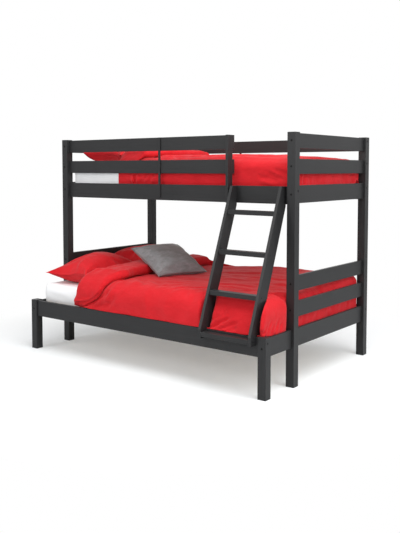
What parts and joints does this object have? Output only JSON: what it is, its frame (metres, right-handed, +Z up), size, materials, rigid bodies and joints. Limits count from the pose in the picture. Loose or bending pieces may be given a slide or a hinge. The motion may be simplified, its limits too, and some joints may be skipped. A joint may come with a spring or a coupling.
{
  "type": "triple sleeper bunk bed",
  "caption": "Painted wooden bunk bed: a single berth with guard rails over a wider lower berth, with a leaning ladder, mattresses, duvets, pillows and a cushion.",
  "frame": {"origin": "on the floor, at the centre of the object's footprint", "axes": "+X along the bed towards the ladder end, +Y from the ladder side to the back, +Z up"},
  "size_m": [2.02, 1.363, 1.525],
  "materials": {
    "anthracite_paint": "satin paint over wood",
    "bare_pine": "planed, unfinished",
    "beech_dowel": "turned, unfinished",
    "zinc_steel": "black zinc",
    "white_sheet": "fitted cotton sheet",
    "red_cotton": "cotton percale",
    "grey_velvet": "short pile velvet"
  },
  "bodies": {
    "frame": {"barrel_nuts": "zinc_steel", "batten_screws": "zinc_steel", "bed_bolts": "zinc_steel", "centre_bearer_blocks": "bare_pine", "dowels": "beech_dowel", "guard_back_batten": "anthracite_paint", "guard_back_mid_rail": "anthracite_paint", "guard_back_top_rail": "anthracite_paint", "guard_front_batten": "anthracite_paint", "guard_front_end_upright": "anthracite_paint", "guard_front_mid_rail": "anthracite_paint", "guard_front_top_rail": "anthracite_paint", "ladder_stringer_left": "anthracite_paint", "ladder_stringer_right": "anthracite_paint", "ladder_tread_1": "anthracite_paint", "ladder_tread_2": "anthracite_paint", "ladder_tread_3": "anthracite_paint", "ladder_tread_4": "anthracite_paint", "leg_front_left": "anthracite_paint", "leg_front_right": "anthracite_paint", "long_screws": "zinc_steel", "lower_centre_bearer": "bare_pine", "lower_duvet": "red_cotton", "lower_end_left_bottom_rail": "anthracite_paint", "lower_end_left_mid_rail": "anthracite_paint", "lower_end_left_top_rail": "anthracite_paint", "lower_end_right_bottom_rail": "anthracite_paint", "lower_end_right_mid_rail": "anthracite_paint", "lower_end_right_top_rail": "anthracite_paint", "lower_mattress": "white_sheet", "lower_short_rail_left": "anthracite_paint", "lower_short_rail_right": "anthracite_paint", "lower_side_rail_back": "anthracite_paint", "lower_side_rail_front": "anthracite_paint", "lower_slat_bearer_back": "bare_pine", "lower_slat_bearer_front": "bare_pine", "lower_slats": "bare_pine", "post_back_left": "anthracite_paint", "post_back_right": "anthracite_paint", "post_front_left": "anthracite_paint", "post_front_right": "anthracite_paint", "upper_end_left_bottom_rail": "anthracite_paint", "upper_end_left_mid_rail": "anthracite_paint", "upper_end_left_top_rail": "anthracite_paint", "upper_end_right_bottom_rail": "anthracite_paint", "upper_end_right_mid_rail": "anthracite_paint", "upper_end_right_top_rail": "anthracite_paint", "upper_side_rail_back": "anthracite_paint", "upper_side_rail_front": "anthracite_paint", "upper_slat_bearer_back": "bare_pine", "upper_slat_bearer_front": "bare_pine", "upper_slats": "bare_pine"},
    "upper_bedding": {"upper_mattress": "white_sheet", "upper_duvet": "red_cotton", "upper_pillow": "red_cotton"},
    "front_pillow": {"lower_pillow_front": "red_cotton"},
    "back_pillow": {"lower_pillow_back": "red_cotton"},
    "cushion": {"scatter_cushion": "grey_velvet"}
  },
  "joints": [
    {"name": "upper_bedding_lift", "type": "slide", "parent": "frame", "child": "upper_bedding", "axis": [0, 0, 1], "range_m": [0, 0.38]},
    {"name": "front_pillow_lift", "type": "slide", "parent": "frame", "child": "front_pillow", "axis": [0, 0, 1], "range_m": [0, 0.28]},
    {"name": "back_pillow_lift", "type": "slide", "parent": "frame", "child": "back_pillow", "axis": [0, 0, 1], "range_m": [0, 0.28]},
    {"name": "cushion_lift", "type": "slide", "parent": "frame", "child": "cushion", "axis": [0, 0, 1], "range_m": [0, 0.25]}
  ]
}
